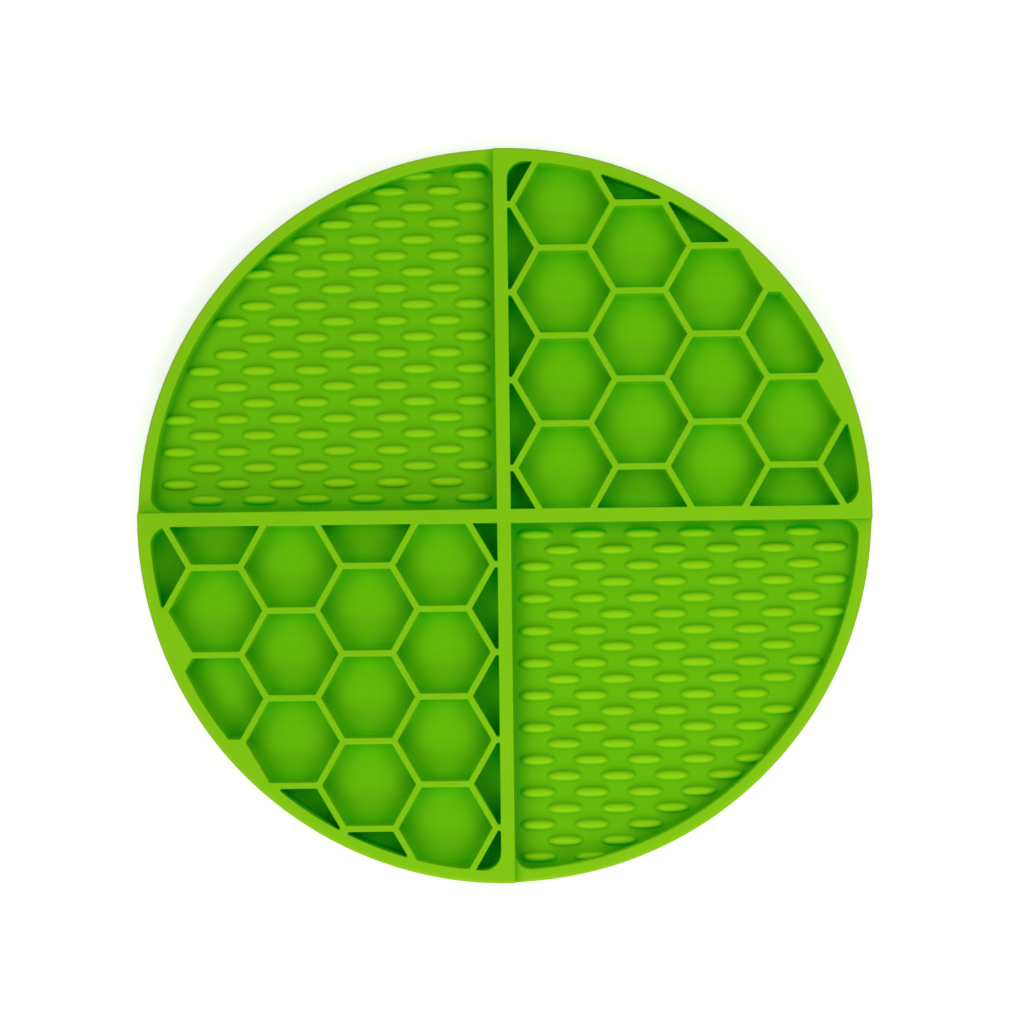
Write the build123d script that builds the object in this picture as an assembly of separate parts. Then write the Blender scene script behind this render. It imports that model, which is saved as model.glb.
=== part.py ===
"""Round silicone lick mat, in millimetres.

A round base sheet carries two crossing dividers and a rim. The upper right and lower left quarters hold
honeycomb walls, the other two a floor of rice-grain nubs behind a lower rim. Suction cups stand below.
The origin is the centre of the surface that the mat lies on, +Z up, +Y along the long divider.
"""

import math
import os

from build123d import *

# Plan of the mat
MAT_RADIUS = 100.0
RIM_WIDTH = 3.5
DIVIDER_WIDTH = 3.75
HONEYCOMB_CORNER_RADIUS = 4.8
NUB_CORNER_RADIUS = 4.2

# Heights
CUP_HEIGHT = 3.0
BASE_THICKNESS = 2.0
BASE_EDGE_CHAMFER = 0.5
WALL_HEIGHT = 7.0
NUB_RIM_DROP = 2.5
DRAFT_ANGLE = 2.0

# Honeycomb, with its first cell next to the cross
CELL_PITCH = 23.85
CELL_WALL = 1.7
FIRST_CELL_X = 16.9
FIRST_CELL_Y = 13.05
SMALLEST_CELL_AREA = 20.0

# Nubs, with the first row next to the cross
NUB_LENGTH = 8.2
NUB_WIDTH = 2.3
NUB_HEIGHT = 1.3
NUB_SIDE_ANGLE = 32.0
NUB_PITCH = 14.65
NUB_ROW_PITCH = 4.42
FIRST_NUB_X = 8.35
FIRST_NUB_Y = 5.15
NUB_FLOOR_THICKNESS = 0.6
NUB_REACH_UNDER_RIM = 2.0

# Suction cups
CUP_RADIUS = 11.0
CUP_NECK_RADIUS = 8.0
CUP_LIP_WIDTH = 1.0
CUP_CROWN_RADIUS = 9.2
CUP_HOLLOW_DEPTH = 1.2
CUP_COUNT = 4
CUP_RING_RADIUS = 70.0

# Worked out from the sizes above
BASE_TOP = CUP_HEIGHT + BASE_THICKNESS
NUB_RIM_HEIGHT = WALL_HEIGHT - NUB_RIM_DROP
DRAFT_SLOPE = math.tan(math.radians(DRAFT_ANGLE))
DIVIDER_FOOT_WIDTH = DIVIDER_WIDTH + 2 * WALL_HEIGHT * DRAFT_SLOPE
CELL_WALL_FOOT = CELL_WALL + 2 * WALL_HEIGHT * DRAFT_SLOPE
CELL_EDGE = CELL_PITCH / math.sqrt(3)
COLUMN_PITCH = CELL_PITCH * math.sqrt(3) / 2


def on_base(shape):
    """Lifts a shape that was drawn on the ground plane to the top of the base sheet."""
    return Pos(0, 0, BASE_TOP) * shape


def tapered_bar(top_width, foot_width, length):
    """A wall along X with drafted sides, standing on the ground plane."""
    outline = Polyline(
        (-foot_width / 2, 0),
        (foot_width / 2, 0),
        (top_width / 2, WALL_HEIGHT),
        (-top_width / 2, WALL_HEIGHT),
        close=True,
    )
    return extrude(Plane.YZ * make_face(outline), length / 2, both=True)


def quarter(shape):
    """The part of a shape that lies in the quarter with positive X and Y."""
    size = 2 * MAT_RADIUS
    return shape & Pos(size / 2, size / 2, 0) * Box(size, size, size)


def divider(length):
    """A divider along X, rounded at both ends by the mat's edge."""
    return tapered_bar(DIVIDER_WIDTH, DIVIDER_FOOT_WIDTH, length) & Cylinder(MAT_RADIUS, 3 * WALL_HEIGHT)


def divider_cross():
    """The long divider along Y, and the left and right arms that meet its sides."""
    long_one = Rot(0, 0, 90) * divider(2 * MAT_RADIUS)
    arms = (divider(2 * MAT_RADIUS) - long_one).solids().sort_by(Axis.X)
    return long_one, arms[0], arms[-1]


def pocket(rim_height, corner_radius, height):
    """The space between rim and dividers in the first quarter, up to a height. It widens upwards."""
    foot_radius = MAT_RADIUS - RIM_WIDTH - rim_height * DRAFT_SLOPE
    inset = DIVIDER_FOOT_WIDTH / 2
    square = Pos(inset, inset) * Rectangle(MAT_RADIUS, MAT_RADIUS, align=(Align.MIN, Align.MIN))
    outline = Circle(foot_radius) & square
    outer_corners = outline.vertices().sort_by_distance((0, 0))[1:]
    outline = fillet(outer_corners, corner_radius - rim_height * DRAFT_SLOPE)
    return extrude(outline, height, taper=-DRAFT_ANGLE)


def rim(rim_height, hollow, cross):
    """The rim of the first quarter, with the webs that round its corners at the dividers."""
    block = quarter(Cylinder(MAT_RADIUS, rim_height, align=(Align.CENTER, Align.CENTER, Align.MIN)))
    for bar in cross:
        block = block - bar
    return block - hollow


def cell_centres():
    """Centres of all honeycomb cells that may reach into the first quarter."""
    columns = int(MAT_RADIUS / COLUMN_PITCH) + 2
    rows = int(MAT_RADIUS / CELL_PITCH) + 2
    for column in range(-1, columns):
        shift = 0.5 * (column % 2)
        for row in range(-2, rows):
            yield FIRST_CELL_X + column * COLUMN_PITCH, FIRST_CELL_Y + (row + shift) * CELL_PITCH


def cell_wall():
    """One honeycomb wall along X, mitred at both ends to meet two others at 120 degrees."""
    bar = tapered_bar(CELL_WALL, CELL_WALL_FOOT, CELL_EDGE)
    mitre = Polygon(
        (-CELL_EDGE / 2, 0),
        (0, -CELL_PITCH / 2),
        (CELL_EDGE / 2, 0),
        (0, CELL_PITCH / 2),
        align=None,
    )
    return bar & extrude(mitre, WALL_HEIGHT)


def cell_fill():
    """The solid that fills one cell between its walls."""
    foot = RegularPolygon((CELL_PITCH - CELL_WALL_FOOT) / 2, 6, major_radius=False)
    return extrude(foot, WALL_HEIGHT, taper=-DRAFT_ANGLE)


def honeycomb(hollow):
    """The walls of the first quarter, cut off at rim and dividers, with scraps of cells filled in."""
    wall = cell_wall()
    fill = cell_fill()
    solids = []
    for x, y in cell_centres():
        for normal in (30, 90, 150):
            side = Pos(x, y) * Rot(0, 0, normal) * Pos(CELL_PITCH / 2, 0) * Rot(0, 0, 90) * wall
            solids += (side & hollow).solids()
        scrap = Pos(x, y) * fill & hollow
        if 0 < scrap.volume < SMALLEST_CELL_AREA * WALL_HEIGHT:
            solids += scrap.solids()
    return Compound(solids)


def nub():
    """One rice-grain nub along X, with eight flat sides that lean in."""
    cut = NUB_WIDTH / 4
    half_length = NUB_LENGTH / 2
    half_width = NUB_WIDTH / 2
    corner = [(half_length, cut), (half_length - 4 * cut, half_width)]
    right = [(x, -y) for x, y in reversed(corner)] + corner
    left = [(-x, -y) for x, y in right]
    return extrude(Polygon(*right, *left, align=None), NUB_HEIGHT, taper=NUB_SIDE_ANGLE)


def nub_centres():
    """Staggered rows of nub centres in the first quarter, without those that run too far under the rim."""
    limit = MAT_RADIUS - RIM_WIDTH + NUB_REACH_UNDER_RIM
    for row in range(int(limit / NUB_ROW_PITCH)):
        y = FIRST_NUB_Y + row * NUB_ROW_PITCH
        for place in range(int(limit / NUB_PITCH) + 1):
            x = FIRST_NUB_X + (place + 0.5 * (row % 2)) * NUB_PITCH
            distance = math.hypot(x, y)
            outward_half = math.hypot(NUB_LENGTH * x, NUB_WIDTH * y) / (2 * distance)
            if distance + outward_half < limit:
                yield x, y


def nub_pad(hollow):
    """The floor of the second quarter with its nubs, which follow the rim where they meet it."""
    floor = pocket(NUB_RIM_HEIGHT, NUB_CORNER_RADIUS, NUB_FLOOR_THICKNESS)
    grain = Pos(0, 0, NUB_FLOOR_THICKNESS) * nub()
    nubs = []
    for x, y in nub_centres():
        nubs += (Pos(-x, y) * grain & Rot(0, 0, 90) * hollow).solids()
    return (Rot(0, 0, 90) * floor).fuse(*nubs)


def suction_cup():
    """One cup: a short neck that flares to a thin lip round a shallow hollow with a flat crown."""
    profile = Polyline(
        (0, CUP_HOLLOW_DEPTH),
        (CUP_CROWN_RADIUS, CUP_HOLLOW_DEPTH),
        (CUP_RADIUS - CUP_LIP_WIDTH, 0),
        (CUP_RADIUS, 0),
        (CUP_NECK_RADIUS, CUP_HEIGHT),
        (0, CUP_HEIGHT),
        close=True,
    )
    return revolve(Plane.XZ * make_face(profile), Axis.Z)


def cup_ring():
    """Cups evenly spaced on a circle, the first half a step from the right divider."""
    cup = suction_cup()
    step = 360 / CUP_COUNT
    turns = [Rot(0, 0, (i + 0.5) * step) for i in range(CUP_COUNT)]
    return Compound([turn * Pos(CUP_RING_RADIUS, 0) * cup for turn in turns])


def base_sheet():
    """The round sheet, with its lower edge broken."""
    sheet = Cylinder(MAT_RADIUS, BASE_THICKNESS, align=(Align.CENTER, Align.CENTER, Align.MIN))
    lower_edge = sheet.edges().filter_by(GeomType.CIRCLE).sort_by(Axis.Z)[0]
    return Pos(0, 0, CUP_HEIGHT) * chamfer(lower_edge, BASE_EDGE_CHAMFER)


def lick_mat():
    """Every node of the mat by name."""
    cross = divider_cross()
    comb_hollow = pocket(WALL_HEIGHT, HONEYCOMB_CORNER_RADIUS, WALL_HEIGHT)
    nub_hollow = pocket(NUB_RIM_HEIGHT, NUB_CORNER_RADIUS, WALL_HEIGHT)
    high_rim = on_base(rim(WALL_HEIGHT, comb_hollow, cross))
    low_rim = on_base(rim(NUB_RIM_HEIGHT, nub_hollow, cross))
    comb = on_base(honeycomb(comb_hollow))
    pad = on_base(nub_pad(nub_hollow))
    half_turn = Rot(0, 0, 180)
    return {
        "base_sheet": base_sheet(),
        "divider_long": on_base(cross[0]),
        "divider_left": on_base(cross[1]),
        "divider_right": on_base(cross[2]),
        "rim_upper_right": high_rim,
        "rim_upper_left": Rot(0, 0, 90) * low_rim,
        "rim_lower_left": half_turn * high_rim,
        "rim_lower_right": Rot(0, 0, 270) * low_rim,
        "honeycomb_upper_right": comb,
        "honeycomb_lower_left": half_turn * comb,
        "nub_pad_upper_left": pad,
        "nub_pad_lower_right": half_turn * pad,
        "suction_cups": cup_ring(),
    }


os.makedirs("parts", exist_ok=True)
for node, shape in lick_mat().items():
    export_step(shape, f"parts/{node}.step")
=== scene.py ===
"""The looks of a round silicone lick mat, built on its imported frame.

The mat is one moulding, so its visible pieces are the four trays that the dividers mark off, and the cups
below. All lengths are in metres. Shapes seen from above are worked out as complex numbers, x + y * 1j.
"""

import cmath
import math

import bmesh
import bpy
from bpy.props import FloatProperty, FloatVectorProperty, PointerProperty
from bpy.types import Operator, Panel, PropertyGroup
from mathutils import Euler, Matrix, Vector
from mathutils.geometry import delaunay_2d_cdt


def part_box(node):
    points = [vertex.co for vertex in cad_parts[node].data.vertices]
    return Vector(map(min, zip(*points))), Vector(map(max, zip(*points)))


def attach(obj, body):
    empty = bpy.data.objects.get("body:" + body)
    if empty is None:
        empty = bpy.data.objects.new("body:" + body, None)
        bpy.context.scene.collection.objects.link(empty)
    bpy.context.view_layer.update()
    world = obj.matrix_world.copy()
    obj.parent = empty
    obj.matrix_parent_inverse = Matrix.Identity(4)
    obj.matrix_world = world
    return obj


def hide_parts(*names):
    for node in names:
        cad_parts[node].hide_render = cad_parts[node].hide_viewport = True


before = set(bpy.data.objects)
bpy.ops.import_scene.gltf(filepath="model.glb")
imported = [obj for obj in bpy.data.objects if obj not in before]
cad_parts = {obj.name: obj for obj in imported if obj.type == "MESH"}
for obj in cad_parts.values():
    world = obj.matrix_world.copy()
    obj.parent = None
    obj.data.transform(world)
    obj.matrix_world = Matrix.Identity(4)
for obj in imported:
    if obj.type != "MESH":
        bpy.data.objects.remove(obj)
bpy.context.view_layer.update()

bl_info = {
    "name": "Lick mat",
    "version": (1, 0, 0),
    "blender": (4, 5, 0),
    "location": "3D View > Sidebar > Lick mat",
    "description": "Builds the visible pieces of a round silicone lick mat",
    "category": "Object",
}

MM = 0.001

# Read from the frame
MAT_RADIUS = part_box("base_sheet")[1].x
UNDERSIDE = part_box("base_sheet")[0].z
SHEET_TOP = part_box("base_sheet")[1].z
WALL_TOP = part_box("divider_long")[1].z
DIVIDER_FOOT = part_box("divider_long")[1].x
LOW_RIM_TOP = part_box("rim_upper_left")[1].z
NUB_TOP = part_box("nub_pad_upper_left")[1].z
CUP_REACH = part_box("suction_cups")[1].x

# Fineness of the meshes
ROUND_STEPS = 4
ARC_POINTS = 48
DIVIDER_END_STEPS = 6
LEAD_STEPS = 2
HIGH_RIM_STEPS = 60
LOW_RIM_STEPS = 58
RIM_STEP = math.radians(1.5)
CORNER_STEP = math.radians(15)
NUB_SIDES = 32
NUB_RINGS = 10
CUP_SIDES = 72
FLARE_STEPS = 10
HOLLOW_STEPS = 12
SHARP_EDGE = math.radians(40)

# Round sides below this radius are corners. Smaller turns and shorter sides are left out
LARGEST_CORNER = 20 * MM
SMALLEST_TURN = 1e-4
SHORTEST_SIDE = 0.5 * MM
SAME_PLACE = 1e-7

# Points on the same step of a grid with this many steps to the metre are one point
GRID_STEPS = 1e8

# Corners of a filled region that lie closer than this, in millimetres, count as one
FILL_MARGIN = 1e-7

# An outline's rounding grows where a tip loses a short side, and shrinks by these shares until a cell fits
TIP_ROUNDING = 1.6
ROUNDING_SHARES = (1, 0.7, 0.5, 0.35, 0.25, 0.15)

# The low rim's edges stay sharp beside a divider, and their rounding grows from there
SHARP_LENGTH = 0.5 * MM
SOFT_START = 1.2 * MM
OUTER_GROWTH = 0.35
INNER_GROWTH = 0.4

# Shape of a nub: the turn from foot to crown, its ends' taper and bluntness, and the swell of its sides
NUB_CROWN = math.radians(84)
NUB_END_TAPER = 2.3
NUB_BLUNTNESS = 0.82
NUB_SHOULDER = 3
NUB_FOOT_SOFTNESS = 1.4

# A nub with less clearance from a wall is a shell of its own, sunk into the floor
NUB_CLEARANCE = 0.05 * MM
NUB_SINK = 0.3 * MM

# How far away a wall still shades a surface
SHADE_REACH = 7 * MM

# A lamp's size for each metre of its distance, and half the floor's side
LAMP_SPREAD = 0.56
FLOOR_REACH = 4


def linear(code):
    """A linear colour from an sRGB hex code."""
    shares = [int(code[k : k + 2], 16) / 255 for k in (1, 3, 5)]
    return tuple(s / 12.92 if s <= 0.04045 else ((s + 0.055) / 1.055) ** 2.4 for s in shares)


def length(name, description, millimetres):
    """A length that the user can change."""
    value = millimetres * MM
    return FloatProperty(name=name, description=description, default=value, unit="LENGTH", precision=5)


def colour(name, description, code):
    """A colour that the user can change."""
    return FloatVectorProperty(name=name, description=description, default=linear(code), subtype="COLOR")


class LickMatSizes(PropertyGroup):
    """Sizes of the moulding that its frame's boxes don't give."""

    rim_width: length("Rim width", "Width of the rim at its top", 3.5)
    comb_corner: length("Honeycomb corner", "Radius where the high rim meets a divider", 4.8)
    nub_corner: length("Nub corner", "Radius where the low rim meets a divider", 4.2)
    cell_pitch: length("Cell pitch", "Distance between neighbouring cells", 23.85)
    cell_wall: length("Cell wall", "Width of a honeycomb wall at its top", 1.7)
    first_cell_x: length("First cell X", "Centre of the cell next to the cross", 16.9)
    first_cell_y: length("First cell Y", "Centre of the cell next to the cross", 13.05)
    nub_length: length("Nub length", "Length of a nub at its foot", 10.4)
    nub_width: length("Nub width", "Width of a nub at its foot", 3.2)
    nub_pitch: length("Nub pitch", "Distance between nubs in a row", 14.65)
    nub_row_pitch: length("Nub row pitch", "Distance between rows of nubs", 4.42)
    first_nub_x: length("First nub X", "Centre of the nub next to the cross", 8.35)
    first_nub_y: length("First nub Y", "Centre of the nub next to the cross", 5.15)
    nub_floor: length("Nub floor", "Height of the nub floor over the sheet", 0.6)
    nub_reach: length("Nub reach", "How far a nub's foot may run under the rim", 2.7)
    edge_round: length("Edge rounding", "Radius of the upper edges of walls", 0.2)
    outer_round: length("Outer rounding", "Radius of the outer edges of the rim", 1.0)
    rim_round: length("Rim rounding", "Radius of the inner edge of the low rim", 0.55)
    inner_round: length("Inner rounding", "Radius of the upright inner corners", 0.25)
    foot_fillet: length("Foot fillet", "Radius between a wall and its floor", 0.2)
    cup_radius: length("Cup radius", "Outer radius of a suction cup's lip", 11.0)
    cup_neck: length("Cup neck", "Radius of a suction cup's neck", 8.0)
    cup_hollow: length("Cup hollow", "Depth of a suction cup's hollow", 1.2)
    draft: FloatProperty(
        name="Draft",
        description="Lean of the walls out of the mould",
        default=math.radians(2),
        subtype="ANGLE",
    )
    smallest_cell: FloatProperty(
        name="Smallest cell",
        description="Cells with less area are filled",
        default=20 * MM**2,
        unit="AREA",
        precision=6,
    )


class LickMatLooks(PropertyGroup):
    """Colours of the mat, with its painted light and shade, and of its stage."""

    # Painted light: tops of walls and rims are painted a lighter, yellower green than the floors
    wall: colour("Wall", "Colour of walls and rims", "#7DC10E")
    # Painted light: the nubs' crowns are painted lighter and yellower than the floor round them
    nub: colour("Nub", "Colour of the nubs' crowns", "#89CB0B")
    # Painted shade: the floor round the nubs is painted a darker, purer green than the tops
    nub_floor: colour("Nub floor", "Colour of the floor round the nubs", "#66B803")
    # Painted shade: the nub floor beside walls is darkened towards this colour
    nub_shade: colour("Nub shade", "Colour of that floor beside walls", "#1E3800")
    # Painted shade: the honeycomb's floor is painted a darker, purer green than the tops
    cell_floor: colour("Cell floor", "Colour of the honeycomb's floor", "#6CC503")
    # Painted shade: deep corners between walls are darkened towards this colour
    recess_shade: colour("Recess", "Colour deep between walls", "#08BC00")
    # Painted shade: upright faces are painted a darker, purer green
    side: colour("Side", "Colour of upright faces", "#68BE03")
    # Painted highlight: a lighter, yellower band along the outer edge
    edge: colour("Edge", "Colour of the trimmed outer edge", "#8AC111")
    floor: colour("Floor", "Colour of the pale floor", "#F4F4F2")
    floor_lift: colour("Floor lift", "Light added to the floor that the camera sees", "#A2A2A2")
    light: colour("Light", "Colour of the light round the mat", "#FFFFFF")


def dot(a, b):
    """The dot product of two plan vectors."""
    return (a.conjugate() * b).real


def mirrored(point):
    """A plan point with x and y exchanged."""
    return 1j * point.conjugate()


class Straight:
    """A straight side of an outline. The inside lies behind its normal."""

    def __init__(self, normal, reach):
        self.normal = normal
        self.reach = reach

    def inset(self, by):
        return Straight(self.normal, self.reach - by)

    def normal_at(self, point):
        return self.normal


class Round:
    """A round side of an outline. The inside lies towards its centre."""

    def __init__(self, centre, radius):
        self.centre = centre
        self.radius = radius

    def inset(self, by):
        return Round(self.centre, self.radius - by)

    def normal_at(self, point):
        away = point - self.centre
        return away / abs(away)


def meet(one, other, near):
    """The point where two sides cross or touch, the one nearest to a known point."""
    if isinstance(one, Straight) and isinstance(other, Straight):
        turn = (one.normal.conjugate() * other.normal).imag
        return 1j * (other.reach * one.normal - one.reach * other.normal) / turn
    if isinstance(one, Round) and isinstance(other, Round):
        apart = other.centre - one.centre
        along = (one.radius**2 - other.radius**2 + abs(apart) ** 2) / (2 * abs(apart))
        axis = apart / abs(apart)
        other = Straight(axis, dot(axis, one.centre) + along)
    line, circle = (one, other) if isinstance(one, Straight) else (other, one)
    foot = circle.centre + line.normal * (line.reach - dot(line.normal, circle.centre))
    half = math.sqrt(max(circle.radius**2 - abs(foot - circle.centre) ** 2, 0))
    ends = (foot + 1j * line.normal * half, foot - 1j * line.normal * half)
    return min(ends, key=lambda end: abs(end - near))


def turned(start, sweep, steps):
    """Directions from a start over a sweep, both ends among them."""
    return [start * cmath.rect(1, sweep * k / steps) for k in range(steps + 1)]


class Outline:
    """A convex outline of straight and round sides in turn, with rounded corners.

    It starts from a path of points, each with the side that follows it.
    """

    def __init__(self, path, rounding):
        starts = [k for k in range(len(path)) if path[k][1] is not path[k - 1][1]]
        runs = [path[k] for k in starts]
        ends = runs[1:] + runs[:1]
        runs = [run for run, end in zip(runs, ends) if abs(end[0] - run[0]) > SHORTEST_SIDE]
        self.corners = [(point, runs[k - 1][1], side) for k, (point, side) in enumerate(runs)]
        # Without a short side a tip is longer, so it is rounded more
        self.rounding = rounding if len(runs) == len(starts) else TIP_ROUNDING * rounding
        bends = self.bends(0)
        self.corner_steps = []
        for _, _, sweep in bends:
            self.corner_steps.append(math.ceil(sweep / CORNER_STEP) if sweep > SMALLEST_TURN else 0)
        self.side_steps = []
        for k, (_, _, side) in enumerate(self.corners):
            step = CORNER_STEP if isinstance(side, Round) and side.radius < LARGEST_CORNER else RIM_STEP
            self.side_steps.append(max(1, math.ceil(self.side_sweep(bends, k) / step)))

    def bends(self, inset):
        """Centre, first normal and sweep of each rounded corner at an inset."""
        found = []
        for near, last, side in self.corners:
            core = meet(last.inset(inset + self.rounding), side.inset(inset + self.rounding), near)
            start = last.normal_at(core)
            found.append((core, start, max(cmath.phase(side.normal_at(core) / start), 0)))
        return found

    def side_sweep(self, bends, k):
        """How far the side after a corner turns."""
        _, start, sweep = bends[k]
        return max(cmath.phase(bends[(k + 1) % len(bends)][1] / (start * cmath.rect(1, sweep))), 0)

    def ring(self, inset):
        """Points with normals round the outline at an inset, as many at every inset."""
        bends = self.bends(inset)
        points = []
        for k, (core, start, sweep) in enumerate(bends):
            steps = self.corner_steps[k]
            normals = turned(start, sweep, steps) if steps else [start]
            points += [(core + self.rounding * n, n) for n in normals]
            side = self.corners[k][2]
            if isinstance(side, Round):
                for n in turned(normals[-1], self.side_sweep(bends, k), self.side_steps[k])[1:-1]:
                    points.append((side.centre + (side.radius - inset) * n, n))
        return points

    def fits(self, inset):
        """Whether every side is still there at an inset."""
        bends = self.bends(inset)
        for k, (core, start, sweep) in enumerate(bends):
            leaving = start * cmath.rect(1, sweep)
            following, arriving, _ = bends[(k + 1) % len(bends)]
            travel = following - core + self.rounding * (arriving - leaving)
            if dot(travel, 1j * (leaving + arriving)) <= 0:
                return False
        return True


def arc_path(side, first, last):
    """Points along a round side, each with that side."""
    turns = [first + (last - first) * k / ARC_POINTS for k in range(ARC_POINTS)]
    return [(side.centre + cmath.rect(side.radius, turn), side) for turn in turns]


def pocket_path(half_width, rim_radius, corner_radius):
    """The path round a quarter's pocket, anticlockwise from the cross."""
    near = half_width + corner_radius
    far = math.sqrt((rim_radius - corner_radius) ** 2 - near**2)
    right = Round(complex(far, near), corner_radius)
    upper = Round(complex(near, far), corner_radius)
    start, end = cmath.phase(right.centre), cmath.phase(upper.centre)
    path = [(complex(half_width, half_width), Straight(-1j, -half_width))]
    path += arc_path(right, -math.pi / 2, start)
    path += arc_path(Round(0j, rim_radius), start, end)
    path += arc_path(upper, end, math.pi)
    path.append((complex(half_width, far), Straight(-1 + 0j, -half_width)))
    return path


def cut(path, side):
    """The part of a convex path behind a straight side."""
    kept = []
    for (p, edge), (q, _) in zip(path, path[1:] + path[:1]):
        here = side.reach - dot(side.normal, p)
        there = side.reach - dot(side.normal, q)
        if here > 0:
            kept.append((p, edge))
        if (here > 0) != (there > 0):
            kept.append((p + (q - p) * here / (here - there), side if here > 0 else edge))
    return kept


def area_and_girth(path):
    """Area and length of a closed path."""
    pairs = list(zip(path, path[1:] + path[:1]))
    area = sum((p.conjugate() * q).imag for (p, _), (q, _) in pairs) / 2
    return area, sum(abs(q - p) for (p, _), (q, _) in pairs)


def rounded_edge(radius):
    """Distance back from the wall and down from the top at each step of a rounded edge."""
    for k in range(ROUND_STEPS + 1):
        turn = math.pi / 2 * k / ROUND_STEPS
        yield radius * (1 - math.sin(turn)), radius * (1 - math.cos(turn))


def fillet_levels(depth, slope, fillet):
    """Inset and depth at each step of the fillet from a wall to its floor."""
    for up, inward in rounded_edge(fillet):
        yield slope * (depth - up) + inward, depth - up


class Shell:
    """Points and faces of one piece. Points at the same place are shared."""

    def __init__(self):
        self.points = []
        self.faces = []
        self.places = {}

    def point(self, plan, z):
        place = tuple(round(part * GRID_STEPS) for part in (plan.real, plan.imag, z))
        if place not in self.places:
            self.places[place] = len(self.points)
            self.points.append((plan.real, plan.imag, z))
        return self.places[place]

    def ring(self, plans, z):
        return [self.point(plan, z) for plan in plans]

    def face(self, corners):
        kept = [corner for k, corner in enumerate(corners) if corner != corners[k - 1]]
        if len(kept) > 2:
            self.faces.append(kept)

    def strips(self, rings, closed=True):
        """Quads between each ring and the next one down."""
        for upper, lower in zip(rings, rings[1:]):
            for k in range(0 if closed else 1, len(upper)):
                self.face((upper[k - 1], lower[k - 1], lower[k], upper[k]))

    def fill(self, outer, holes=()):
        """Triangles over a level region, without its convex holes."""
        corners, edges, owner = [], [], []
        for number, loop in enumerate([outer, *holes]):
            first = len(corners)
            corners += loop
            owner += [number] * len(loop)
            edges += [(first + k, first + (k + 1) % len(loop)) for k in range(len(loop))]
        plans = [Vector(self.points[corner][:2]) / MM for corner in corners]
        _, _, triangles, sources, _, _ = delaunay_2d_cdt(plans, edges, [], 1, FILL_MARGIN)
        for triangle in triangles:
            found = [sources[k][0] for k in triangle]
            owners = {owner[k] for k in found}
            if owners == {0} or len(owners) > 1:
                self.faces.append([corners[k] for k in found])

    def build(self, name, turn=0.0):
        """The piece as a mesh object, turned about the mat's axis."""
        mesh = bpy.data.meshes.new(name)
        mesh.from_pydata(self.points, [], self.faces)
        mesh.transform(Matrix.Rotation(turn, 4, "Z"))
        shape = bmesh.new()
        shape.from_mesh(mesh)
        loose = [vertex for vertex in shape.verts if not vertex.link_faces]
        bmesh.ops.delete(shape, geom=loose, context="VERTS")
        bmesh.ops.recalc_face_normals(shape, faces=shape.faces)
        open_edges = [edge for edge in shape.edges if not edge.is_manifold]
        shape.to_mesh(mesh)
        shape.free()
        if open_edges:
            raise RuntimeError(f"{name} has {len(open_edges)} open edges")
        mesh.polygons.foreach_set("use_smooth", [True] * len(mesh.polygons))
        mesh.set_sharp_from_angle(angle=SHARP_EDGE)
        piece = bpy.data.objects.new(name, mesh)
        bpy.context.scene.collection.objects.link(piece)
        weighted = piece.modifiers.new("Weighted normals", "WEIGHTED_NORMAL")
        weighted.keep_sharp = True
        return piece


def outer_levels(top, upper_round, lower_round):
    """Inset and height at each step down the outer wall."""
    levels = [(back, top - down) for back, down in rounded_edge(upper_round)]
    return levels + [(back, UNDERSIDE + down) for back, down in reversed(list(rounded_edge(lower_round)))]


def close_quarter(shell, rings):
    """Closes a tray underneath and at the two planes where it meets its neighbours."""
    top, bottom = shell.point(0j, WALL_TOP), shell.point(0j, UNDERSIDE)
    shell.face([bottom, *rings[-1]])
    shell.face([top, *(ring[0] for ring in rings), bottom])
    shell.face([top, *(ring[-1] for ring in rings), bottom])


def cell_outlines(sizes):
    """The outlines of the open cells of the first quarter, each with its foot fillet."""
    depth = WALL_TOP - SHEET_TOP
    slope = math.tan(sizes.draft)
    pocket = pocket_path(DIVIDER_FOOT - depth * slope, MAT_RADIUS - sizes.rim_width, sizes.comb_corner)
    column_pitch = sizes.cell_pitch * math.sqrt(3) / 2
    half_cell = (sizes.cell_pitch - sizes.cell_wall) / 2
    for column in range(-1, int(MAT_RADIUS / column_pitch) + 2):
        x = sizes.first_cell_x + column * column_pitch
        for row in range(-2, int(MAT_RADIUS / sizes.cell_pitch) + 2):
            centre = complex(x, sizes.first_cell_y + (row + 0.5 * (column % 2)) * sizes.cell_pitch)
            path = pocket
            for k in range(6):
                normal = cmath.rect(1, math.radians(30 + 60 * k))
                path = cut(path, Straight(normal, dot(normal, centre) + half_cell))
            area, girth = area_and_girth(path)
            if area - girth * slope * depth / 2 > sizes.smallest_cell:
                yield fitted_outline(path, sizes, slope * depth)


def fitted_outline(path, sizes, foot_inset):
    """An outline with rounding and foot fillet as large as its shortest side allows."""
    for share in ROUNDING_SHARES:
        outline = Outline(path, share * sizes.inner_round)
        fillet = share * sizes.foot_fillet
        if outline.fits(foot_inset + fillet):
            return outline, fillet
    raise RuntimeError("a honeycomb cell is too narrow for its wall's draft")


def honeycomb_tray(sizes):
    """The first quarter: high rim, half dividers and honeycomb walls over the sheet."""
    shell = Shell()
    depth = WALL_TOP - SHEET_TOP
    slope = math.tan(sizes.draft)
    holes = []
    for outline, fillet in cell_outlines(sizes):
        levels = [(slope * down - back, down) for back, down in rounded_edge(sizes.edge_round)]
        levels += fillet_levels(depth, slope, fillet)
        rings = [shell.ring([p for p, _ in outline.ring(inset)], WALL_TOP - down) for inset, down in levels]
        shell.strips(rings)
        shell.face(rings[-1])
        holes.append(rings[0])
    turns = turned(1 + 0j, math.pi / 2, HIGH_RIM_STEPS)
    rings = []
    for inset, z in outer_levels(WALL_TOP, sizes.outer_round, sizes.outer_round):
        rings.append(shell.ring([(MAT_RADIUS - inset) * turn for turn in turns], z))
    shell.strips(rings, closed=False)
    shell.fill([shell.point(0j, WALL_TOP), *rings[0]], holes)
    close_quarter(shell, rings)
    return shell


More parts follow.
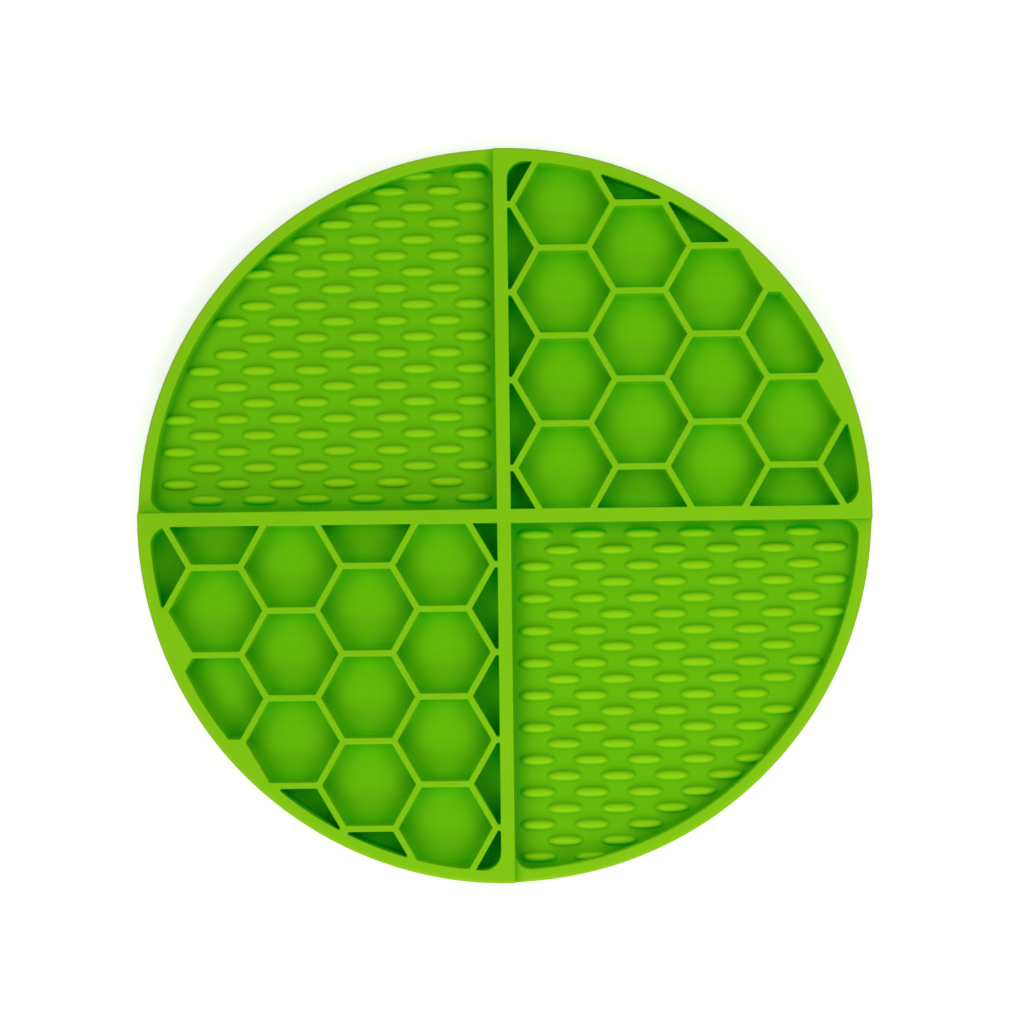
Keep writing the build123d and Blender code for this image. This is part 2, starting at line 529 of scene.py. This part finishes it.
def divider_end(half_width, rim_back, rounding):
    """Points round the upright edge where a divider's side meets the outer wall, from the wall inwards."""
    wall = Round(0j, MAT_RADIUS - rim_back - rounding)
    side = Straight(1j, half_width - rounding)
    core = meet(wall, side, complex(MAT_RADIUS, 0))
    start = core / abs(core)
    return [core + rounding * n for n in turned(start, cmath.phase(1j / start), DIVIDER_END_STEPS)]


def nub_centres(sizes):
    """Centres of the nubs, in a quarter that is turned so that their rows run along y."""
    limit = MAT_RADIUS - sizes.rim_width + sizes.nub_reach
    for row in range(int(limit / sizes.nub_row_pitch)):
        y = sizes.first_nub_y + row * sizes.nub_row_pitch
        for place in range(int(limit / sizes.nub_pitch) + 1):
            x = sizes.first_nub_x + (place + 0.5 * (row % 2)) * sizes.nub_pitch
            distance = math.hypot(x, y)
            if distance + math.hypot(sizes.nub_length * x, sizes.nub_width * y) / (2 * distance) < limit:
                yield complex(y, x)


def nub_rings(sizes):
    """Plan and height above the floor of each ring of a nub, from its soft foot to its broad crown."""
    height = NUB_TOP - SHEET_TOP - sizes.nub_floor
    half_width, half_length = sizes.nub_width / 2, sizes.nub_length / 2
    directions = turned(1 + 0j, 2 * math.pi, NUB_SIDES)[:-1]
    for k in range(NUB_RINGS + 1):
        share = math.cos(NUB_CROWN * k / NUB_RINGS)
        # Its ends fall off more gently than its sides
        across = half_width * share
        along = half_length - NUB_END_TAPER * half_width * (1 - share)
        ring = [complex(across * blunt(d.real), along * blunt(d.imag)) for d in directions]
        yield ring, height * (1 - share**NUB_SHOULDER) ** NUB_FOOT_SOFTNESS


def blunt(share):
    """Moves points out towards the corners of an ellipse, which makes its ends blunter."""
    return math.copysign(abs(share) ** NUB_BLUNTNESS, share)


def add_nubs(shell, sizes, floor_ring, floor):
    """Adds the nubs of a tray, and returns the holes that they leave in its floor."""
    sides = list(zip(floor_ring, floor_ring[1:] + floor_ring[:1]))
    sides = [(p, q) for p, q in sides if abs(q - p) > SAME_PLACE]
    normals = [1j * (q - p) / abs(q - p) for p, q in sides]
    starts = [p for p, _ in sides]
    rings = list(nub_rings(sizes))
    holes = []
    for centre in nub_centres(sizes):
        foot = [centre + offset for offset in rings[0][0]]
        room = min(dot(normal, p - start) for normal, start in zip(normals, starts) for p in foot)
        made = [shell.ring([centre + offset for offset in ring], floor + up) for ring, up in rings]
        if room > NUB_CLEARANCE:
            holes.append(made[0])
        else:
            made.insert(0, shell.ring(foot, floor - NUB_SINK))
            shell.face(made[0])
        shell.strips(made)
        shell.face(made[-1])
    return holes


def nub_tray(sizes):
    """A quarter with a low rim, half dividers and a floor of nubs, turned so that its rows run along y."""
    shell = Shell()
    slope = math.tan(sizes.draft)
    half_width = DIVIDER_FOOT - (LOW_RIM_TOP - SHEET_TOP) * slope
    path = pocket_path(half_width, MAT_RADIUS - sizes.rim_width, sizes.nub_corner)
    pocket = Outline(path, sizes.inner_round)
    cross_count = pocket.corner_steps[0] + 1

    # The dividers above the low rim
    step = WALL_TOP - LOW_RIM_TOP
    levels = list(zip(rounded_edge(sizes.edge_round), rounded_edge(sizes.outer_round)))
    levels.append(((0, step), (0, step)))
    upper = []
    outer = []
    for (side_back, side_down), (rim_back, rim_down) in levels:
        inset = slope * (side_down - step) - side_back
        inner = [p for p, _ in pocket.ring(inset)]
        end = divider_end(half_width + inset, rim_back, sizes.inner_round)
        lead_turns = [cmath.phase(end[0]) * k / LEAD_STEPS for k in range(LEAD_STEPS)]
        lead = [cmath.rect(MAT_RADIUS - rim_back, turn) for turn in lead_turns]
        plans = lead + end + inner[cross_count : cross_count + 1] + inner[:cross_count][::-1] + inner[-1:]
        turn_downs = [rim_down + (side_down - rim_down) * k / (len(end) - 1) for k in range(len(end))]
        end_downs = [rim_down] * len(lead) + turn_downs
        downs = end_downs + [side_down] * (len(plans) - len(end_downs)) + end_downs[::-1]
        plans += [mirrored(p) for p in (lead + end)[::-1]]
        upper.append([shell.point(p, WALL_TOP - down) for p, down in zip(plans, downs)])
        outer.append(upper[-1][: LEAD_STEPS + 1] + upper[-1][-LEAD_STEPS - 1 :])
    shell.strips(upper, closed=False)
    shell.fill([shell.point(0j, WALL_TOP), *upper[0]])

    # The low rim's outer wall, whose rounding runs out where it meets a divider
    first = cmath.phase(end[0])
    span = math.pi / 2 - 2 * first
    close = [0.0, SHARP_LENGTH / MAT_RADIUS, SOFT_START / MAT_RADIUS]
    between = [span * k / LOW_RIM_STEPS for k in range(1, LOW_RIM_STEPS)]
    places = close + between + [span - place for place in reversed(close)]
    turns = [cmath.rect(1, first + place) for place in places]
    clears = [MAT_RADIUS * min(place, span - place) - SHARP_LENGTH for place in places]
    rounds = [min(sizes.outer_round, OUTER_GROWTH * max(clear, 0)) for clear in clears]
    ends = [cmath.rect(1, first * k / LEAD_STEPS) for k in range(LEAD_STEPS)]
    walls = []
    for back, down in rounded_edge(1.0):
        rim = [((MAT_RADIUS - back * r) * turn, LOW_RIM_TOP - down * r) for turn, r in zip(turns, rounds)]
        start = [(MAT_RADIUS * turn, LOW_RIM_TOP) for turn in ends]
        stop = [(mirrored(p), z) for p, z in start[::-1]]
        walls.append([shell.point(p, z) for p, z in start + rim + stop])
    turns = ends + turns + [mirrored(turn) for turn in ends[::-1]]
    for back, down in reversed(list(rounded_edge(sizes.outer_round))):
        walls.append(shell.ring([(MAT_RADIUS - back) * turn for turn in turns], UNDERSIDE + down))
    shell.strips(walls, closed=False)

    # The pocket's wall, from the low rim's rounded inner edge to the floor
    level = pocket.ring(0)
    rounds = []
    for k, (p, _) in enumerate(level):
        clear = min(p.real, p.imag) - half_width
        beside_divider = k <= cross_count or k == len(level) - 1
        rounds.append(0.0 if beside_divider else min(sizes.rim_round, INNER_GROWTH * clear))
    rings = []
    for back, down in rounded_edge(1.0):
        edge = [(p + n * back * r, LOW_RIM_TOP - down * r) for (p, n), r in zip(level, rounds)]
        rings.append([shell.point(p, z) for p, z in edge])
    depth = LOW_RIM_TOP - SHEET_TOP - sizes.nub_floor
    for inset, down in fillet_levels(depth, slope, sizes.foot_fillet):
        floor_ring = [p for p, _ in pocket.ring(inset)]
        rings.append(shell.ring(floor_ring, LOW_RIM_TOP - down))
    shell.strips(rings)

    # The low rim's top, and the floor round its nubs
    end_ring = [shell.point(p, LOW_RIM_TOP) for p in end]
    far_end = [shell.point(mirrored(p), LOW_RIM_TOP) for p in end]
    web = rings[0][cross_count:]
    shell.fill(walls[0][LEAD_STEPS:-LEAD_STEPS] + far_end[1:] + web[::-1] + end_ring[:0:-1])
    shell.fill(rings[-1], add_nubs(shell, sizes, floor_ring, SHEET_TOP + sizes.nub_floor))
    close_quarter(shell, outer + walls[1:])
    return shell


def cup_profile(sizes):
    """Radius and height down the outside of a cup, round its lip and up into its hollow."""
    root, lip, land = 0.5 * MM, 0.15 * MM, 0.7 * MM
    neck, reach = sizes.cup_neck, sizes.cup_radius
    profile = [(neck + back, UNDERSIDE - down) for back, down in rounded_edge(root)]
    for k in range(1, FLARE_STEPS + 1):
        share = k / FLARE_STEPS
        profile.append((neck + (reach - neck) * share**2, (UNDERSIDE - root) * (1 - share) + lip * share))
    profile += [(reach - down, back) for back, down in rounded_edge(lip)][1:]
    edge = reach - lip - land
    for k in range(HOLLOW_STEPS, 0, -1):
        profile.append((edge * k / HOLLOW_STEPS, sizes.cup_hollow * (1 - (k / HOLLOW_STEPS) ** 2)))
    return profile


def suction_cups(sizes):
    """Four cups, each a neck that flares to a thin lip round a smooth hollow."""
    shell = Shell()
    ring_radius = (CUP_REACH - sizes.cup_radius) * math.sqrt(2)
    directions = turned(1 + 0j, 2 * math.pi, CUP_SIDES)[:-1]
    profile = cup_profile(sizes)
    for corner in range(4):
        centre = cmath.rect(ring_radius, math.pi / 4 + math.pi / 2 * corner)
        rings = [shell.ring([centre + radius * d for d in directions], z) for radius, z in profile]
        shell.strips(rings)
        shell.face(rings[0])
        shell.face(rings[-1])
    return shell


def enabled(sockets, name):
    """The socket of that name that the node uses with its settings."""
    return next(socket for socket in sockets if socket.name == name and socket.enabled)


def add_node(tree, kind, inputs=None, **settings):
    """Adds a shader node with its settings, and fills its inputs with values or other nodes' outputs."""
    node = tree.nodes.new(kind)
    for name, value in settings.items():
        setattr(node, name, value)
    for name, value in (inputs or {}).items():
        socket = node.inputs[name] if isinstance(name, int) else enabled(node.inputs, name)
        if isinstance(value, bpy.types.NodeSocket):
            tree.links.new(value, socket)
        else:
            socket.default_value = value
    return node


def new_material(name):
    """A new material with an empty shader tree."""
    material = bpy.data.materials.new(name)
    material.use_nodes = True
    material.node_tree.nodes.clear()
    return material, material.node_tree


def moulded_silicone(looks, sizes):
    """Silicone rubber, compression-moulded in a sparked steel mould.

    The mould's fine grain gives it a soft sheen and no clear reflection. Walls and the nubs' crowns are
    painted a lighter, yellower green as painted light. Floors and the sides of walls, which get much of
    their light from other green faces, are painted a darker, purer green as painted shade, and deep corners
    and the nub floor beside walls darker still. A lighter, yellower band along the outer edge is a painted
    highlight.
    """
    name = "Moulded silicone rubber"
    if name in bpy.data.materials:
        return bpy.data.materials[name]
    material, tree = new_material(name)
    coordinates = add_node(tree, "ShaderNodeTexCoord").outputs
    place = coordinates["Object"]
    height = add_node(tree, "ShaderNodeSeparateXYZ", {"Vector": place})
    # How little of the space round a surface is open sets how much painted shade it gets
    openness = add_node(tree, "ShaderNodeAmbientOcclusion", {"Distance": SHADE_REACH}, samples=8)
    open_share = add_node(
        tree, "ShaderNodeMapRange", {"Value": openness.outputs["AO"], "From Min": 0.3, "From Max": 0.88}
    )
    lit = add_node(tree, "ShaderNodeMath", {0: open_share.outputs["Result"], 1: 0.5}, operation="POWER")
    # Painted shade: the nub floor is darkened towards the nub shade beside walls
    nub_floor = add_node(
        tree,
        "ShaderNodeMix",
        {"Factor": lit.outputs["Value"], "A": (*looks.nub_shade, 1), "B": (*looks.nub_floor, 1)},
        data_type="RGBA",
    )
    # Painted light and shade by height, each tone with the heights between which it comes in: floors are
    # painted a darker, purer green, and the nubs' crowns and the tops of walls and rims a lighter, yellower
    # green
    nub_foot = SHEET_TOP + sizes.nub_floor
    tone = (*looks.cell_floor, 1)
    for low, high, paint in (
        (nub_foot - 0.15 * MM, nub_foot, enabled(nub_floor.outputs, "Result")),
        (nub_foot + 0.25 * MM, NUB_TOP - 0.15 * MM, (*looks.nub, 1)),
        (NUB_TOP, LOW_RIM_TOP, (*looks.wall, 1)),
    ):
        rise = add_node(
            tree, "ShaderNodeMapRange", {"Value": height.outputs["Z"], "From Min": low, "From Max": high}
        )
        mixed = add_node(
            tree,
            "ShaderNodeMix",
            {"Factor": rise.outputs["Result"], "A": tone, "B": paint},
            data_type="RGBA",
        )
        tone = enabled(mixed.outputs, "Result")
    # Painted shade: sides of walls get the darker side colour, by how steep the surface is
    normal = add_node(tree, "ShaderNodeSeparateXYZ", {"Vector": coordinates["Normal"]})
    facing = add_node(
        tree,
        "ShaderNodeMapRange",
        {"Value": normal.outputs["Z"], "From Min": 0.1, "From Max": 0.75},
        interpolation_type="SMOOTHSTEP",
    )
    tone = add_node(
        tree,
        "ShaderNodeMix",
        {"Factor": facing.outputs["Result"], "A": (*looks.side, 1), "B": tone},
        data_type="RGBA",
    )
    # Painted highlight: a lighter band along the outer edge, by the distance from the mat's axis
    plan = add_node(tree, "ShaderNodeVectorMath", {0: place, 1: (1, 1, 0)}, operation="MULTIPLY")
    reach = add_node(tree, "ShaderNodeVectorMath", {0: plan.outputs["Vector"]}, operation="LENGTH")
    highlighted = add_node(
        tree,
        "ShaderNodeMapRange",
        {
            "Value": reach.outputs["Value"],
            "From Min": MAT_RADIUS - 1.9 * MM,
            "From Max": MAT_RADIUS - 0.2 * MM,
        },
    )
    tone = add_node(
        tree,
        "ShaderNodeMix",
        {"Factor": highlighted.outputs["Result"], "A": enabled(tone.outputs, "Result"), "B": (*looks.edge, 1)},
        data_type="RGBA",
    )
    # Painted shade: recesses are darkened towards the recess shade by how little of the space round them is
    # open
    shaded = add_node(
        tree,
        "ShaderNodeMix",
        {"Factor": lit.outputs["Value"], "A": (*looks.recess_shade, 1), "B": enabled(tone.outputs, "Result")},
        data_type="RGBA",
    )
    # Pigment is milled in, and leaves clouds about 18 mm across that hardly show
    clouds = add_node(tree, "ShaderNodeTexNoise", {"Vector": place, "Scale": 1 / (18 * MM), "Detail": 2.0})
    cloud_share = add_node(
        tree, "ShaderNodeMapRange", {"Value": clouds.outputs["Fac"], "To Min": 0.96, "To Max": 1.04}
    )
    tinted = add_node(
        tree,
        "ShaderNodeHueSaturation",
        {"Value": cloud_share.outputs["Result"], "Color": enabled(shaded.outputs, "Result")},
    )
    # Grains of the sparked mould are about a quarter of a millimetre across
    grain = add_node(tree, "ShaderNodeTexNoise", {"Vector": place, "Scale": 1 / (0.25 * MM), "Detail": 1.0})
    rough = add_node(
        tree, "ShaderNodeMapRange", {"Value": grain.outputs["Fac"], "To Min": 0.44, "To Max": 0.6}
    )
    bump = add_node(
        tree, "ShaderNodeBump", {"Height": grain.outputs["Fac"], "Strength": 0.12, "Distance": 0.02 * MM}
    )
    surface = add_node(
        tree,
        "ShaderNodeBsdfPrincipled",
        {
            "Base Color": tinted.outputs["Color"],
            "Roughness": rough.outputs["Result"],
            "IOR": 1.41,
            "Specular IOR Level": 0.06,
            "Normal": bump.outputs["Normal"],
        },
    )
    add_node(tree, "ShaderNodeOutputMaterial", {"Surface": surface.outputs["BSDF"]})
    return material


def pale_floor(looks):
    """A matt painted studio floor, which the camera sees a little brighter so that it comes out white."""
    material, tree = new_material("Matt white paint")
    rays = add_node(tree, "ShaderNodeLightPath")
    seen = rays.outputs["Is Camera Ray"]
    for other in ("Is Glossy Ray", "Is Transmission Ray"):
        either = add_node(tree, "ShaderNodeMath", {0: seen, 1: rays.outputs[other]}, operation="MAXIMUM")
        seen = either.outputs["Value"]
    surface = add_node(
        tree,
        "ShaderNodeBsdfPrincipled",
        {
            "Base Color": (*looks.floor, 1),
            "Roughness": 0.9,
            "Emission Color": (*looks.floor_lift, 1),
            "Emission Strength": seen,
        },
    )
    add_node(tree, "ShaderNodeOutputMaterial", {"Surface": surface.outputs["BSDF"]})
    return material


def add_piece(context, shell, name, turn, nodes):
    """Builds a piece of the mat, and hides the nodes of the frame that it stands for."""
    scene = context.scene
    piece = shell.build(name, turn)
    piece.data.materials.append(moulded_silicone(scene.lick_mat_looks, scene.lick_mat_sizes))
    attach(piece, "root")
    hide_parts(*nodes)


class LICKMAT_OT_honeycomb_trays(Operator):
    """Build the two quarters with honeycomb walls"""

    bl_idname = "lickmat.honeycomb_trays"
    bl_label = "Honeycomb trays"

    def execute(self, context):
        shell = honeycomb_tray(context.scene.lick_mat_sizes)
        shared = ("base_sheet", "divider_long")
        add_piece(
            context,
            shell,
            "honeycomb_tray_upper_right",
            0.0,
            (*shared, "divider_right", "rim_upper_right", "honeycomb_upper_right"),
        )
        add_piece(
            context,
            shell,
            "honeycomb_tray_lower_left",
            math.pi,
            (*shared, "divider_left", "rim_lower_left", "honeycomb_lower_left"),
        )
        return {"FINISHED"}


class LICKMAT_OT_nub_trays(Operator):
    """Build the two quarters with nubs behind a low rim"""

    bl_idname = "lickmat.nub_trays"
    bl_label = "Nub trays"

    def execute(self, context):
        shell = nub_tray(context.scene.lick_mat_sizes)
        shared = ("base_sheet", "divider_long")
        add_piece(
            context,
            shell,
            "nub_tray_upper_left",
            math.pi / 2,
            (*shared, "divider_left", "rim_upper_left", "nub_pad_upper_left"),
        )
        add_piece(
            context,
            shell,
            "nub_tray_lower_right",
            -math.pi / 2,
            (*shared, "divider_right", "rim_lower_right", "nub_pad_lower_right"),
        )
        return {"FINISHED"}


class LICKMAT_OT_suction_cups(Operator):
    """Build the suction cups under the sheet"""

    bl_idname = "lickmat.suction_cups"
    bl_label = "Suction cups"

    def execute(self, context):
        add_piece(context, suction_cups(context.scene.lick_mat_sizes), "cups", 0.0, ("suction_cups",))
        return {"FINISHED"}


def add_lamp(name, azimuth, elevation, distance, power):
    """A square soft lamp that faces the mat's centre. Its power is what it would need at 1 m."""
    lamp = bpy.data.lights.new(name, "AREA")
    lamp.size = LAMP_SPREAD * distance
    lamp.energy = power * distance**2
    holder = bpy.data.objects.new(name, lamp)
    direction = Euler((0, -elevation, azimuth)).to_matrix() @ Vector((1, 0, 0))
    holder.location = distance * direction
    holder.rotation_euler = direction.to_track_quat("Z", "Y").to_euler()
    bpy.context.scene.collection.objects.link(holder)


class LICKMAT_OT_stage(Operator):
    """Set up floor, light and camera for the picture from above"""

    bl_idname = "lickmat.stage"
    bl_label = "Stage"

    def execute(self, context):
        scene = context.scene
        mesh = bpy.data.meshes.new("floor")
        corners = [(FLOOR_REACH * x, FLOOR_REACH * y, 0) for x, y in ((-1, -1), (1, -1), (1, 1), (-1, 1))]
        mesh.from_pydata(corners, [], [(0, 1, 2, 3)])
        floor = bpy.data.objects.new("floor", mesh)
        scene.collection.objects.link(floor)
        mesh.materials.append(pale_floor(scene.lick_mat_looks))

        # The lamps at the right and in front stand closer, so the mat is brightest at its lower right
        for name, azimuth, elevation, distance, power in (
            ("right_lamp", 0, 52, 0.65, 2.47),
            ("back_lamp", 90, 36, 1.3, 1.98),
            ("left_lamp", 180, 52, 1.4, 2.1),
            ("front_lamp", 270, 28, 0.85, 4.8),
        ):
            add_lamp(name, math.radians(azimuth), math.radians(elevation), distance, power)

        world = bpy.data.worlds.new("Soft white tent")
        world.use_nodes = True
        tree = world.node_tree
        tree.nodes.clear()
        white = (*scene.lick_mat_looks.light, 1)
        light = add_node(tree, "ShaderNodeBackground", {"Color": white, "Strength": 0.37})
        add_node(tree, "ShaderNodeOutputWorld", {"Surface": light.outputs["Background"]})
        scene.world = world

        lens = bpy.data.cameras.new("camera")
        lens.lens = 90.83
        lens.sensor_width = 36
        camera = bpy.data.objects.new("camera", lens)
        camera.location = (0.0124, 0.0041, 0.7132)
        camera.rotation_euler = Euler(math.radians(turn) for turn in (-0.26, 0.83, -0.70))
        scene.collection.objects.link(camera)
        scene.camera = camera
        scene.view_settings.view_transform = "Standard"
        return {"FINISHED"}


class LICKMAT_PT_sidebar(Panel):
    """The mat's steps, sizes and colours"""

    bl_idname = "LICKMAT_PT_sidebar"
    bl_label = "Lick mat"
    bl_space_type = "VIEW_3D"
    bl_region_type = "UI"
    bl_category = "Lick mat"

    def draw(self, context):
        for step in STEPS:
            self.layout.operator(step.bl_idname)
        for group in (context.scene.lick_mat_sizes, context.scene.lick_mat_looks):
            for name in group.__annotations__:
                self.layout.prop(group, name)


STEPS = (LICKMAT_OT_honeycomb_trays, LICKMAT_OT_nub_trays, LICKMAT_OT_suction_cups, LICKMAT_OT_stage)
CLASSES = (LickMatSizes, LickMatLooks, *STEPS, LICKMAT_PT_sidebar)


def register():
    for cls in CLASSES:
        bpy.utils.register_class(cls)
    bpy.types.Scene.lick_mat_sizes = PointerProperty(type=LickMatSizes)
    bpy.types.Scene.lick_mat_looks = PointerProperty(type=LickMatLooks)


def unregister():
    del bpy.types.Scene.lick_mat_looks
    del bpy.types.Scene.lick_mat_sizes
    for cls in reversed(CLASSES):
        bpy.utils.unregister_class(cls)


def main():
    register()
    bpy.ops.lickmat.honeycomb_trays()
    bpy.ops.lickmat.nub_trays()
    bpy.ops.lickmat.suction_cups()
    bpy.ops.lickmat.stage()


if __name__ == "__main__":
    main()
